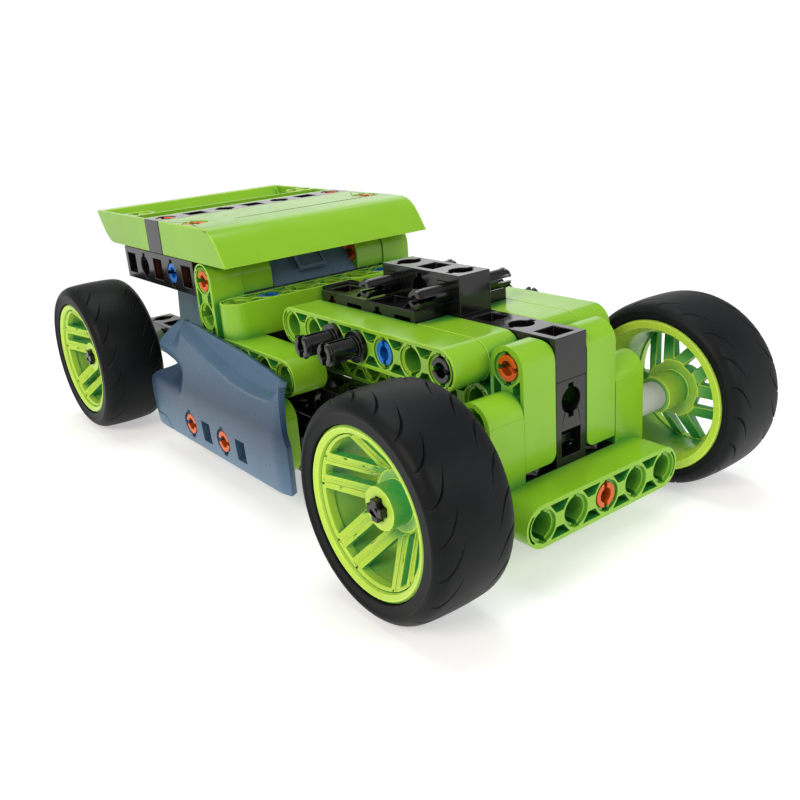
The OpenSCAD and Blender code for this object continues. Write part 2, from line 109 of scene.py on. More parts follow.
class KitSizes(PropertyGroup):
    """Sizes of the finishing touches; everything else comes from the frame"""

    edge: FloatProperty(
        name="Edge round", description="Width of the rounded edges of beams and pins",
        default=0.018 * PITCH, min=0, subtype="DISTANCE", unit="LENGTH")
    shell_edge: FloatProperty(
        name="Shell edge round", description="Width of the rounded edges of roof panels and panes",
        default=0.03 * PITCH, min=0, subtype="DISTANCE", unit="LENGTH")
    grooves: IntProperty(
        name="Tread grooves", description="Grooves round each shoulder of a tyre",
        default=20, min=8, max=40)
    groove_depth: FloatProperty(
        name="Groove depth", description="Depth of the tread grooves",
        default=0.05 * PITCH, min=0, subtype="DISTANCE", unit="LENGTH")
    fairing_wall: FloatProperty(
        name="Fairing wall", description="Thickness of the side fairings",
        default=0.2 * PITCH, min=0, subtype="DISTANCE", unit="LENGTH")


def colour(label, about, value):
    """A colour property with its default."""
    return FloatVectorProperty(
        name=label, description=about, default=value, min=0, max=1, size=3, subtype="COLOR")


class KitColours(PropertyGroup):
    """Base colours of the mouldings"""

    lime: colour("Lime", "Beams, panels and roof", (0.235, 0.485, 0.02))
    lime_glow: colour("Lime rim", "Rims of the wheels", (0.47, 0.68, 0.06))
    black: colour("Black", "Frame beams, pegs and axles", (0.006, 0.006, 0.0065))
    slate: colour("Slate", "Side fairings and panes", (0.105, 0.16, 0.23))
    orange: colour("Orange", "Orange pins", (0.62, 0.10, 0.008))
    blue: colour("Blue", "Blue pins", (0.008, 0.15, 0.55))
    pale_grey: colour("Pale grey", "Bushes", (0.55, 0.55, 0.54))
    rubber: colour("Rubber", "Tyres", (0.006, 0.0065, 0.0075))


# ---- Meshes ----

SHARP_DEGREES = 32
EDGE_SEGMENTS = 2
MERGE_DISTANCE = 2e-6
BOX_SLACK = 1e-5


def mesh_from_grid(name, points, around=False, along=False):
    """Mesh over a grid of points: rows by columns, joined back to the first row or column where asked.
    Each face takes the four neighbours of a cell, in the order that turns its normal outwards."""
    rows, columns = points.shape[:2]
    index = np.arange(rows * columns).reshape(rows, columns)
    index = np.vstack([index, index[:1]]) if around else index
    index = np.hstack([index, index[:, :1]]) if along else index
    quads = np.stack([index[:-1, :-1], index[:-1, 1:], index[1:, 1:], index[1:, :-1]], -1).reshape(-1, 4)
    mesh = bpy.data.meshes.new(name)
    mesh.vertices.add(rows * columns)
    mesh.vertices.foreach_set("co", points.reshape(-1).astype(np.float32))
    mesh.loops.add(quads.size)
    mesh.loops.foreach_set("vertex_index", quads.reshape(-1).astype(np.int32))
    mesh.polygons.add(len(quads))
    mesh.polygons.foreach_set("loop_start", (np.arange(len(quads)) * 4).astype(np.int32))
    mesh.update(calc_edges=True)
    mesh.validate()
    return mesh


def new_piece(name, mesh, materials):
    """An object at the origin that holds this mesh and these materials."""
    piece = bpy.data.objects.new(name, mesh)
    bpy.context.scene.collection.objects.link(piece)
    mesh.materials.clear()
    for material in materials:
        mesh.materials.append(material)
    return piece


def stands_for(piece, node):
    """The piece rides with a CAD node's body and takes its place."""
    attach(piece, BODY_OF[node])
    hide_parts(node)


def smooth_faces(mesh, sharp_degrees=SHARP_DEGREES):
    """Smooth shading that breaks at edges sharper than the angle."""
    mesh.shade_smooth()
    mesh.set_sharp_from_angle(angle=math.radians(sharp_degrees))


def add_edge_round(piece, width):
    """A bevel along every sharp edge; its faces use the piece's second material, which is a painted
    highlight.
    """
    bevel = piece.modifiers.new("edge_round", "BEVEL")
    bevel.width = width
    bevel.segments = EDGE_SEGMENTS
    bevel.limit_method = "ANGLE"
    bevel.angle_limit = math.radians(SHARP_DEGREES)
    bevel.use_clamp_overlap = False
    bevel.harden_normals = True
    bevel.miter_outer = "MITER_SHARP"
    bevel.material = 1 if len(piece.data.materials) > 1 else -1


def round_off(node, width, materials):
    """A merged copy of a CAD node with rounded edges, which stands for the node. The bevel is clamped
    only where it would otherwise reach out of the node's box."""
    mesh = frame["nodes"][node].data.copy()
    merge = bmesh.new()
    merge.from_mesh(mesh)
    bmesh.ops.remove_doubles(merge, verts=merge.verts, dist=MERGE_DISTANCE)
    merge.to_mesh(mesh)
    merge.free()
    mesh.attributes.remove(mesh.attributes["custom_normal"])
    smooth_faces(mesh)
    piece = new_piece(node + "_moulding", mesh, materials)
    add_edge_round(piece, width)
    piece.modifiers["edge_round"].use_clamp_overlap = leaves_box(piece, node)
    stands_for(piece, node)
    return piece


def leaves_box(piece, node):
    """Whether the piece, with its modifiers, reaches out of the CAD node's box by more than the slack."""
    bpy.context.view_layer.update()
    shaped = piece.evaluated_get(bpy.context.evaluated_depsgraph_get()).to_mesh()
    places = np.empty(len(shaped.vertices) * 3, np.float32)
    shaped.vertices.foreach_get("co", places)
    places = places.reshape(-1, 3)
    low, high = (np.array(corner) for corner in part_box(node))
    return bool((places.min(0) < low - BOX_SLACK).any() or (places.max(0) > high + BOX_SLACK).any())


def carved(piece, tools, operation):
    """Joins or cuts the piece with closed tool objects, keeps the result and removes the tools."""
    for tool in tools:
        boolean = piece.modifiers.new("carve", "BOOLEAN")
        boolean.operation = operation
        boolean.solver = "EXACT"
        boolean.object = tool
    keep_result(piece)
    for tool in tools:
        bpy.data.objects.remove(tool)


def keep_result(piece):
    """Replaces the piece's mesh by what its modifiers make of it."""
    bpy.context.view_layer.update()
    shaped = piece.evaluated_get(bpy.context.evaluated_depsgraph_get())
    piece.data = bpy.data.meshes.new_from_object(shaped)
    piece.modifiers.clear()


# ---- Materials ----


class Nodes:
    """Short calls for making and joining shader nodes in one tree."""

    def __init__(self, tree):
        self.tree = tree

    def add(self, kind, values=(), **settings):
        """A node with these settings, whose sockets take a number, a colour or another node's output."""
        node = self.tree.nodes.new(kind)
        for name, value in settings.items():
            setattr(node, name, value)
        for socket, value in dict(values).items():
            if isinstance(value, bpy.types.NodeSocket):
                self.tree.links.new(value, node.inputs[socket])
            else:
                node.inputs[socket].default_value = value
        return node

    def math(self, operation, first, second=0.0):
        """The result of one step of arithmetic."""
        return self.add("ShaderNodeMath", {0: first, 1: second}, operation=operation).outputs[0]

    def span(self, value, low, high, to_low=0.0, to_high=1.0):
        """The value's place between low and high, on a line from to_low to to_high, held at both ends."""
        limits = {"Value": value, "From Min": low, "From Max": high, "To Min": to_low, "To Max": to_high}
        return self.add("ShaderNodeMapRange", limits).outputs["Result"]

    def noise(self, place, scale, detail):
        """Soft noise from 0 to 1, with about this many features to the metre."""
        values = {"Vector": place, "Scale": scale, "Detail": detail}
        return self.add("ShaderNodeTexNoise", values).outputs["Fac"]

    def relief(self, height, strength):
        """The normal of a surface that rises with the height."""
        values = {"Height": height, "Strength": strength, "Distance": RELIEF_HEIGHT}
        return self.add("ShaderNodeBump", values).outputs["Normal"]

    def blend(self, factor, first, second):
        """The colour that lies this share of the way from the first to the second."""
        mix = self.add("ShaderNodeMix", data_type="RGBA")
        for socket, value in ((mix.inputs[0], factor), (mix.inputs[6], first), (mix.inputs[7], second)):
            if isinstance(value, bpy.types.NodeSocket):
                self.tree.links.new(value, socket)
            else:
                socket.default_value = value
        return mix.outputs[2]


def group_with(name, inputs, outputs):
    """A shader node group with named sockets, and the calls to fill it."""
    group = bpy.data.node_groups.new(name, "ShaderNodeTree")
    for label, kind, default in inputs:
        socket = group.interface.new_socket(label, in_out="INPUT", socket_type=kind)
        socket.default_value = default
    for label, kind in outputs:
        group.interface.new_socket(label, in_out="OUTPUT", socket_type=kind)
    nodes = Nodes(group)
    return nodes, nodes.add("NodeGroupInput").outputs, nodes.add("NodeGroupOutput")


GRAIN_SIZE = 2600.0
# Occlusion values at which the painted corner shade begins and is full.
OPEN_CORNER, CLOSED_CORNER = 0.82, 0.42
SCRATCH_ROUGHNESS = 0.03
RELIEF_HEIGHT = 0.0002


def make_moulded_group():
    """Moulded plastic: slow colour drift, a darker tone painted into corners as shade, smudges and hair
    scratches that dull the shine, and fine grain. The painted shade sets in as a corner closes up."""
    nodes, given, result = group_with(
        "moulded_plastic",
        [("Tone", "NodeSocketColor", (0.5, 0.5, 0.5, 1)),
         ("Painted shade tone", "NodeSocketColor", (0.2, 0.2, 0.2, 1)),
         ("Depth", "NodeSocketFloat", 0.5),
         ("Reach", "NodeSocketFloat", 0.006),
         ("Shine", "NodeSocketFloat", 0.2),
         ("Smudge", "NodeSocketFloat", 0.1),
         ("Grain size", "NodeSocketFloat", GRAIN_SIZE),
         ("Grain", "NodeSocketFloat", 0.3)],
        [("Tone", "NodeSocketColor"), ("Roughness", "NodeSocketFloat"), ("Height", "NodeSocketFloat")])
    place = nodes.add("ShaderNodeTexCoord").outputs["Object"]
    drift = nodes.noise(place, 55.0, 3.0)
    smudge = nodes.noise(place, 260.0, 5.0)
    grain = nodes.noise(place, given["Grain size"], 2.0)
    turned = {"Vector": place, "Rotation": (0.35, 0.6, 0.9), "Scale": (900, 22, 900)}
    hair = nodes.noise(nodes.add("ShaderNodeMapping", turned).outputs[0], 1.0, 1.0)
    scratch = nodes.span(hair, 0.7, 0.8)
    # Painted shade: where the occlusion finds a closing corner, the tone turns towards the painted shade
    # tone.
    corner = nodes.add("ShaderNodeAmbientOcclusion", {"Distance": given["Reach"]}, samples=8).outputs["AO"]
    shade = nodes.math("MULTIPLY", nodes.span(corner, OPEN_CORNER, CLOSED_CORNER), given["Depth"])
    strength = nodes.span(drift, 0.3, 0.7, 0.955, 1.045)
    light = nodes.add("ShaderNodeHueSaturation", {"Value": strength, "Color": given["Tone"]})
    tone = nodes.blend(shade, light.outputs[0], given["Painted shade tone"])
    smudged = nodes.math("MULTIPLY", nodes.span(smudge, 0.35, 0.7), given["Smudge"])
    rough = nodes.math("ADD", smudged, given["Shine"])
    rough = nodes.math("ADD", rough, nodes.math("MULTIPLY", scratch, SCRATCH_ROUGHNESS))
    height = nodes.math("MULTIPLY", grain, given["Grain"])
    for label, value in (("Tone", tone), ("Roughness", rough), ("Height", height)):
        nodes.tree.links.new(value, result.inputs[label])
    return nodes.tree


def moulded(name, tone, shade_tone, shine, smudge=0.1, depth=0.6, reach=0.006, grain=0.3, bump=0.05, coat=0.0,
            specular=0.4):
    """A moulded plastic, whose tones, painted corner shade, shine and grain go through the shared group
    into a plain shader.
    """
    name = "moulded_" + name
    material = bpy.data.materials.get(name)
    if material is not None:
        return material
    material = bpy.data.materials.new(name)
    material.use_nodes = True
    nodes = Nodes(material.node_tree)
    shader = material.node_tree.nodes["Principled BSDF"]
    group = bpy.data.node_groups.get("moulded_plastic") or make_moulded_group()
    surface = nodes.add("ShaderNodeGroup", node_tree=group)
    values = {"Tone": (*tone, 1), "Painted shade tone": (*shade_tone, 1), "Depth": depth, "Reach": reach, "Shine": shine,
              "Smudge": smudge, "Grain size": GRAIN_SIZE, "Grain": grain}
    for label, value in values.items():
        surface.inputs[label].default_value = value
    relief = nodes.relief(surface.outputs["Height"], bump)
    material.node_tree.links.new(surface.outputs["Tone"], shader.inputs["Base Color"])
    material.node_tree.links.new(surface.outputs["Roughness"], shader.inputs["Roughness"])
    material.node_tree.links.new(relief, shader.inputs["Normal"])
    shader.inputs["Coat Weight"].default_value = coat
    shader.inputs["Coat Roughness"].default_value = 0.06
    shader.inputs["Specular IOR Level"].default_value = specular
    return material


def tinted(tone, *factors):
    """A colour with each channel multiplied, kept between 0 and 1."""
    return tuple(min(1.0, channel * factor) for channel, factor in zip(tone, factors))


def lime_materials():
    """Glossy lime with a green painted shade in its corners, and a yellower painted highlight on its rounded
    edges.
    """
    tone = tuple(bpy.context.scene.kit_colours.lime)
    shade_tone = tinted(tone, 0.09, 0.5, 2.2)
    edge = tinted(tone, 1.55, 1.25, 2.0)
    return [moulded("lime_plastic", tone, shade_tone, 0.17, depth=0.95, coat=0.05, specular=0.36),
            moulded("lime_edge_highlight", edge, tone, 0.18, depth=0.5, specular=0.4)]


def rim_materials():
    """Bright clear-looking lime, with a dark green painted shade inside the dish and a paler painted
    highlight on its edges.
    """
    tone = tuple(bpy.context.scene.kit_colours.lime_glow)
    shade_tone = tinted(tone, 0.06, 0.5, 1.9)
    edge = tinted(tone, 1.2, 1.15, 1.5)
    return [moulded("rim_plastic", tone, shade_tone, 0.24, depth=0.97, reach=0.012),
            moulded("rim_edge", edge, tone, 0.24, depth=0.7, reach=0.009)]


def black_materials():
    """Glossy black with a greyer painted highlight on its edges and a darker painted shade in its corners.
    """
    tone = tuple(bpy.context.scene.kit_colours.black)
    edge = tinted(tone, 3, 3, 3)
    shade_tone = tinted(tone, 0.3, 0.3, 0.3)
    return [moulded("black_plastic", tone, shade_tone, 0.13, smudge=0.08, coat=0.2, bump=0.02),
            moulded("black_edge_highlight", edge, tone, 0.2, bump=0.02)]


def plain_materials(name, tone, shine):
    """One tone with a darker painted shade in its corners and a paler painted highlight on its edges."""
    return [moulded(name, tone, tinted(tone, 0.35, 0.35, 0.4), shine),
            moulded(name + "_edge", tinted(tone, 1.3, 1.3, 1.3), tone, shine)]


# ---- Operators, one for each piece or group of like pieces ----


class KITCAR_OT_lime_mouldings(Operator):
    """Makes the lime beams, panels and roof with rounded edges"""

    bl_idname = "kitcar.lime_mouldings"
    bl_label = "Lime mouldings"

    def execute(self, context):
        sizes = context.scene.kit_sizes
        for node in nodes_in("lime_plastic"):
            width = sizes.shell_edge if node.startswith("roof") else sizes.edge
            round_off(node, width, lime_materials())
        return {"FINISHED"}


class KITCAR_OT_black_mouldings(Operator):
    """Makes the black frame beams, pegs, pins and axles with rounded edges"""

    bl_idname = "kitcar.black_mouldings"
    bl_label = "Black mouldings"

    def execute(self, context):
        for node in nodes_in("black_plastic"):
            round_off(node, context.scene.kit_sizes.edge, black_materials())
        return {"FINISHED"}


class KITCAR_OT_pins(Operator):
    """Makes the orange and blue pins and the pale bushes"""

    bl_idname = "kitcar.pins"
    bl_label = "Pins and bushes"

    def execute(self, context):
        colours = context.scene.kit_colours
        looks = {
            "orange_plastic": plain_materials("orange_plastic", tuple(colours.orange), 0.22),
            "blue_plastic": plain_materials("blue_plastic", tuple(colours.blue), 0.22),
            "pale_grey_plastic": plain_materials("pale_grey_plastic", tuple(colours.pale_grey), 0.38),
        }
        for slot, materials in looks.items():
            for node in nodes_in(slot):
                round_off(node, context.scene.kit_sizes.edge, materials)
        return {"FINISHED"}


class KITCAR_OT_rims(Operator):
    """Makes the spoked rims with rounded edges"""

    bl_idname = "kitcar.rims"
    bl_label = "Rims"

    def execute(self, context):
        for node in nodes_in("lime_rim_plastic"):
            round_off(node, context.scene.kit_sizes.edge, rim_materials())
        return {"FINISHED"}


# Sizes of a tyre: radii and widths in pitches, shares of its half width, and angles in radians.
RIM_OUTER = 1.83
TREAD_TRIM = 0.9998
TREAD_SHARE = 0.98
TREAD_COLUMNS = 91
GROOVE_END = 0.97
GROOVE_SPAN = 0.6
GROOVE_TAPER = 0.55
GROOVE_TURN = 0.36
GROOVE_HALF_WIDTH = 0.048
GROOVE_STEPS = 24
TYRE_SHARP_DEGREES = 40


def tyre_profile(node):
    """Closed outline of a tyre's section as across and radius, in metres from the wheel's middle.
    The tread's radius falls by a parabola and a ninth power towards its shoulders; the side walls bulge,
    then tuck in to the bead, which is wider at the inner end, and the seat under them follows the rim."""
    low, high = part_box(node)
    rim_low, rim_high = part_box(node.replace("tyre", "rim"))
    radius = (high.z - low.z) / 2 * TREAD_TRIM
    inner_rim = (rim_high.z - rim_low.z) / 2
    rim = min(inner_rim, RIM_OUTER * PITCH)
    half = (high.x - low.x) / 2
    t = np.linspace(-1, 1, TREAD_COLUMNS)
    tread = np.stack([TREAD_SHARE * half * t, radius - PITCH * (0.05 * t**2 + 0.16 * np.abs(t) ** 9)], -1)
    side = np.array([
        [0.995, radius - 0.235 * PITCH], [1.0, radius - 0.27 * PITCH], [0.998, radius - 0.31 * PITCH],
        [0.975, radius - 0.335 * PITCH], [0.965, radius - 0.36 * PITCH], [0.968, rim + 0.045 * PITCH],
        [0.955, rim + 0.025 * PITCH], [0.93, rim + 0.02 * PITCH], [0.78, rim + 0.02 * PITCH],
        [0.70, rim - 0.09 * PITCH]])
    other = side[::-1] * [-1, 1]
    other[:, 1] = np.where(other[:, 1] < rim + 0.1 * PITCH, other[:, 1] + inner_rim - rim, other[:, 1])
    other[0] = [-0.62, rim - 0.09 * PITCH]
    outline = np.concatenate([side, other]) * [half, 1]
    return np.concatenate([tread, outline]), t, radius, half


def tread_groove_shift(t):
    """Angle round the tyre that a groove has turned by at t, which runs from -1 to 1 across the tread: back
    by a square law from one shoulder, level over the plain middle, and back again to the other shoulder."""
    from_first = np.clip((t + GROOVE_END) / GROOVE_SPAN, 0, 1)
    from_last = np.clip((GROOVE_END - t) / GROOVE_SPAN, 0, 1)
    return -GROOVE_TURN * (from_first**2 + 1 - from_last**2)


class KITCAR_OT_tyres(Operator):
    """Makes the tyres: a crowned tread with crescent grooves at both shoulders"""

    bl_idname = "kitcar.tyres"
    bl_label = "Tyres"

    def execute(self, context):
        sizes = context.scene.kit_sizes
        rubber = rubber_material(tuple(context.scene.kit_colours.rubber))
        for node in nodes_in("tyre_rubber"):
            depth = sizes.groove_depth * (1 if node.startswith("front") else 0.6)
            mesh = self.tyre_mesh(node, sizes.grooves, depth)
            stands_for(new_piece(node + "_rubber", mesh, [rubber]), node)
        return {"FINISHED"}

    @staticmethod
    def tyre_mesh(node, grooves, depth):
        """Turns the profile about the axle. The grid's columns lean with the grooves, and lie closer
        together near a groove's middle, where the radius drops by depth times a rounded notch. The notch
        tapers as a sine towards its two ends, and the second shoulder's grooves sit half a step on."""
        outline, t, radius, half = tyre_profile(node)
        low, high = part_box(node)
        centre = (low + high) / 2
        share = np.arange(-GROOVE_STEPS // 2, GROOVE_STEPS // 2) / (GROOVE_STEPS / 2)
        local = np.sign(share) * np.abs(share) ** 1.8 / 2 * (2 * math.pi / grooves)
        base = (np.arange(grooves)[:, None] * (2 * math.pi / grooves) + local).reshape(-1)
        offset = np.tile(local, grooves) * radius
        across = outline[:, 0]
        place = np.clip(across / (TREAD_SHARE * half), -1, 1)
        shift = tread_groove_shift(place)
        shift[len(t):] = np.linspace(shift[len(t) - 1], shift[0], len(outline) - len(t))
        step = math.pi / grooves * smooth_step(-0.25, 0.25, place)
        step[len(t):] = np.linspace(step[len(t) - 1], step[0], len(outline) - len(t))
        taper = np.sin(math.pi * np.clip((GROOVE_END - np.abs(place)) / GROOVE_TAPER, 0, 1)) ** 0.75
        taper[len(t):] = 0
        width = GROOVE_HALF_WIDTH * PITCH * taper + 1e-6
        notch = np.clip(1 - np.abs(offset[None, :]) / width[:, None], 0, 1) ** 0.8
        reach = outline[:, 1][:, None] - depth * taper[:, None] * notch
        angle = base[None, :] + (shift + step)[:, None]
        side = math.copysign(1, centre.x)
        points = np.stack(
            [centre.x + side * np.broadcast_to(across[:, None], reach.shape),
             centre.y + reach * np.sin(angle), centre.z + reach * np.cos(angle)], -1)
        mesh = mesh_from_grid(node, points if side > 0 else points[::-1], around=True, along=True)
        smooth_faces(mesh, TYRE_SHARP_DEGREES)
        return mesh


def rubber_material(tone):
    """Moulded rubber: a dull skin with fine grain, and patches that are a little paler and rougher."""
    material = bpy.data.materials.new("moulded_rubber")
    material.use_nodes = True
    nodes = Nodes(material.node_tree)
    shader = material.node_tree.nodes["Principled BSDF"]
    place = nodes.add("ShaderNodeTexCoord").outputs["Object"]
    grain = nodes.noise(place, 3200.0, 3.0)
    patch = nodes.noise(place, 75.0, 6.0)
    dust = nodes.span(patch, 0.42, 0.78)
    tone_now = nodes.blend(dust, (*tone, 1), (*tinted(tone, 1.9, 1.9, 1.85), 1))
    material.node_tree.links.new(tone_now, shader.inputs["Base Color"])
    material.node_tree.links.new(nodes.span(patch, 0.3, 0.8, 0.40, 0.54), shader.inputs["Roughness"])
    relief = nodes.relief(grain, 0.12)
    material.node_tree.links.new(relief, shader.inputs["Normal"])
    shader.inputs["Specular IOR Level"].default_value = 0.11
    return material


# ---- Side fairings ----


def along_points(points, share):
    """Point at a share of the way along a smooth line through the points, spaced by their distance."""
    points = np.array(points, float)
    step = np.r_[0, np.cumsum(np.linalg.norm(np.diff(points, axis=0), axis=1))]
    step /= step[-1]
    return np.stack([np.interp(share, step, points[:, k]) for k in range(2)], -1)


# Outline of a fairing in pitches, back from the grille face and up from the bumper holes.
FAIRING_BOTTOM = [(5.26, -0.6), (13.4, -0.6)]
FAIRING_FRONT = [(5.26, -0.6), (5.2, 0.0), (5.2, 0.7), (5.4, 1.3), (5.56, 1.75), (5.66, 2.12)]
FAIRING_TOP = [
    (5.66, 2.12), (6.6, 2.24), (7.75, 2.37), (9.4, 2.55), (10.9, 2.74), (11.6, 2.78), (12.05, 2.68)]
FAIRING_REAR = [
    (13.4, -0.6), (13.39, -0.2), (13.34, 0.3), (13.24, 0.65), (13.06, 0.92), (12.8, 1.1), (12.45, 1.24),
    (12.15, 1.37), (12.0, 1.48), (12.02, 1.58), (12.2, 1.67), (12.47, 1.77), (12.64, 1.9), (12.62, 2.15),
    (12.4, 2.45), (12.05, 2.68)]
SCOOP_EDGE = [
    (5.6, 1.86), (6.1, 1.79), (6.9, 1.77), (7.83, 1.83), (9.35, 2.12), (10.79, 2.49), (11.7, 2.76)]
VALLEY = [(11.15, 1.22), (12.9, 1.45)]
SEAM = [(13.6, -0.21), (12.35, -0.2), (11.81, -0.8)]

# The fairing's skin and its mounting block: places, distances from the middle plane and sizes in pitches.
SKIN_OUT = 4.5
SKIN_FLOOR = 3.73
LEAN_START = 0.97
LINE_WIDTH = 0.04
FAIRING_COLUMNS, FAIRING_ROWS = 280, 150
FAIRING_SHARP_DEGREES = 38
BLOCK_CELLS = (7, 11)
BLOCK_DEPTH = (3.53, 4.38)
BLOCK_HALF_HEIGHT = 0.5
BLOCK_GAP = 0.03
MOUNT_HOLES = (8.5, 10.5)
HOLE_DEPTH, HOLE_RADIUS = (3.3, 4.8), 0.30
RECESS_DEPTH, RECESS_RADIUS = (4.43, 4.8), 0.37
KEY_HALF = (0.09, 0.43)
WINDOWS = (7.5, 9.5)
WINDOW_DEPTH, WINDOW_HALF = (3.8, 4.8), (0.25, 0.31)


def distance_to_line(y, z, points):
    """Distance from each place to the nearest stretch of a line of points."""
    best = np.full(y.shape, 1e9)
    for (y0, z0), (y1, z1) in zip(points[:-1], points[1:]):
        length = (y1 - y0) ** 2 + (z1 - z0) ** 2
        share = np.clip(((y - y0) * (y1 - y0) + (z - z0) * (z1 - z0)) / length, 0, 1)
        best = np.minimum(best, np.hypot(y - y0 - share * (y1 - y0), z - z0 - share * (z1 - z0)))
    return best


def soft_ramp(value, width):
    """0 well below zero, the value itself well above it, and the log-sum curve between."""
    return width * np.logaddexp(0, value / width)


def fairing_skin(y, z):
    """Distance of the skin from the middle plane, in pitches. Upright below a soft crease, then leaning in;
    rolled in at the front edge and a little at the rear one; pressed in by a bell-shaped valley that runs
    forwards from the notch; a lens-shaped scoop steps in above its raised lip and leans further; the rear
    lobe leans in more near its top. It is kept outside a floor, so that the beams behind it stay covered,
    and a shallow panel line crosses the lower rear corner."""
    skin = SKIN_OUT - 0.3 * soft_ramp(z - LEAN_START, 0.12) - 0.05 * np.clip(0.5 - z, 0, None) ** 2
    skin = skin - 0.12 * np.clip((5.75 - y) / 0.55, 0, 1) ** 2
    lower = 1 - smooth_step(0.9, 1.6, z)
    skin = skin - 0.16 * lower * np.clip((y - 12.6) / 0.8, 0, 1) ** 2
    valley = distance_to_line(y, z, VALLEY)
    skin = skin - 0.45 * np.exp(-((valley / 0.3) ** 2)) * smooth_step(10.6, 11.9, y)
    inside = z - np.interp(y, *zip(*SCOOP_EDGE))
    scoop = smooth_step(5.66, 6.1, y) * (1 - smooth_step(11.35, 11.7, y))
    skin = skin - scoop * (0.17 * smooth_step(0.0, 0.09, inside) + 0.3 * np.clip(inside, 0, None))
    skin = skin + 0.045 * scoop * np.exp(-(((inside + 0.05) / 0.05) ** 2))
    skin = skin - 0.3 * smooth_step(11.3, 11.9, y) * smooth_step(1.9, 2.7, z)
    skin = SKIN_FLOOR + soft_ramp(skin - SKIN_FLOOR, 0.025)
    panel_line = distance_to_line(y, z, SEAM)
    return skin - LINE_WIDTH * np.clip(1 - panel_line / LINE_WIDTH, 0, 1)


def fairing_grid():
    """Places of the fairing's grid: a Coons patch, which adds the two ways of spanning between opposite
    edges and takes away the patch through the four corners."""
    u = np.linspace(0, 1, FAIRING_COLUMNS)[None, :, None]
    v = np.linspace(0, 1, FAIRING_ROWS)[:, None, None]
    bottom = along_points(FAIRING_BOTTOM, u[..., 0])
    top = along_points(FAIRING_TOP, u[..., 0])
    rise = v[..., 0]
    front = np.array(FAIRING_FRONT)
    rear = np.array(FAIRING_REAR)

    def by_height(edge):
        """Points of an edge line at equal steps of height."""
        share = (edge[:, 1] - edge[0, 1]) / (edge[-1, 1] - edge[0, 1])
        return np.stack([np.interp(rise, share, edge[:, k]) for k in range(2)], -1)

    left, right = by_height(front), by_height(rear)
    corners = ((1 - u) * (1 - v) * front[0] + u * (1 - v) * rear[0]
               + (1 - u) * v * front[-1] + u * v * rear[-1])
    return (1 - u) * left + u * right + (1 - v) * bottom + v * top - corners


def box_tool(name, low, high):
    """A closed box between two lattice corners."""
    low, high = lattice(*low), lattice(*high)
    mesh = bpy.data.meshes.new(name)
    box = bmesh.new()
    size = Matrix.Diagonal((*(high - low), 1))
    bmesh.ops.create_cube(box, size=1, matrix=Matrix.Translation((low + high) / 2) @ size)
    box.to_mesh(mesh)
    box.free()
    return new_piece(name, mesh, [])


def hole_tool(name, y, side, radius, depth):
    """A closed round bar along X between two distances from the middle plane."""
    start, end = depth
    mesh = bpy.data.meshes.new(name)
    bar = bmesh.new()
    middle = lattice(side * (start + end) / 2, y, 0)
    place = Matrix.Translation(middle) @ Matrix.Rotation(math.pi / 2, 4, "Y")
    bmesh.ops.create_cone(
        bar, cap_ends=True, segments=64, radius1=radius * PITCH, radius2=radius * PITCH,
        depth=(end - start) * PITCH, matrix=place)
    bar.to_mesh(mesh)
    bar.free()
    return new_piece(name, mesh, [])


class KITCAR_OT_fairings(Operator):
    """Makes the side fairings: a curved skin with a scoop, a notch and a panel line on a block with holes"""

    bl_idname = "kitcar.fairings"
    bl_label = "Side fairings"

    def execute(self, context):
        wall = context.scene.kit_sizes.fairing_wall
        materials = [fairing_material(context)]
        places = fairing_grid()
        for hand, side in SIDES.items():
            node = "side_fairing_" + hand
            y, z = places[..., 0], places[..., 1]
            points = lattice(side * fairing_skin(y, z), y, z)
            mesh = mesh_from_grid(node, points if side > 0 else points[::-1])
            piece = new_piece(node + "_skin", mesh, materials)
            self.thicken(piece, wall)
            self.carve_block(piece, side)
            smooth_faces(piece.data, FAIRING_SHARP_DEGREES)
            stands_for(piece, node)
        return {"FINISHED"}

    @staticmethod
    def thicken(piece, wall):
        """Gives the skin its wall on the inner side and rounds the edge all round it."""
        solid = piece.modifiers.new("wall", "SOLIDIFY")
        solid.thickness = wall
        solid.offset = -1
        bevel = piece.modifiers.new("edge_round", "BEVEL")
        bevel.width = wall * 0.3
        bevel.segments = 3
        bevel.limit_method = "ANGLE"
        bevel.angle_limit = math.radians(60)
        keep_result(piece)

    @staticmethod
    def carve_block(piece, side):
        """Adds the mounting block behind the skin and cuts its round holes and square windows."""
        def on_side(depth):
            """Two distances from the middle plane as places along X on this side, the lower one first."""
            return depth if side > 0 else (-depth[1], -depth[0])

        def bar_tool(name, middle, half, depth):
            """A closed bar along X round a place on the hole row."""
            inner, outer = on_side(depth)
            return box_tool(name, (inner, middle - half[0], -half[1]), (outer, middle + half[0], half[1]))

        first, last = BLOCK_CELLS
        inner, outer = on_side(BLOCK_DEPTH)
        low = (inner, first + BLOCK_GAP, -BLOCK_HALF_HEIGHT)
        block = box_tool("block", low, (outer, last, BLOCK_HALF_HEIGHT))
        carved(piece, [block], "UNION")
        cuts = [bar_tool("window", y, WINDOW_HALF, WINDOW_DEPTH) for y in WINDOWS]
        cuts += [bar_tool("key", y, KEY_HALF, HOLE_DEPTH) for y in MOUNT_HOLES]
        cuts += [hole_tool("hole", y, side, HOLE_RADIUS, HOLE_DEPTH) for y in MOUNT_HOLES]
        cuts += [hole_tool("recess", y, side, RECESS_RADIUS, RECESS_DEPTH) for y in MOUNT_HOLES]
        carved(piece, cuts, "DIFFERENCE")


def slate_materials(context):
    """Satin slate with a dark painted shade in its corners and a paler painted highlight on its edges."""
    tone = tuple(context.scene.kit_colours.slate)
    shade_tone = tinted(tone, 0.1, 0.1, 0.14)
    return [moulded("slate_plastic", tone, shade_tone, 0.27, smudge=0.05, depth=0.95, reach=0.007, grain=0.15,
                    bump=0.02, specular=0.3),
            moulded("slate_edge_highlight", tinted(tone, 1.4, 1.35, 1.3), tone, 0.25, grain=0.2)]


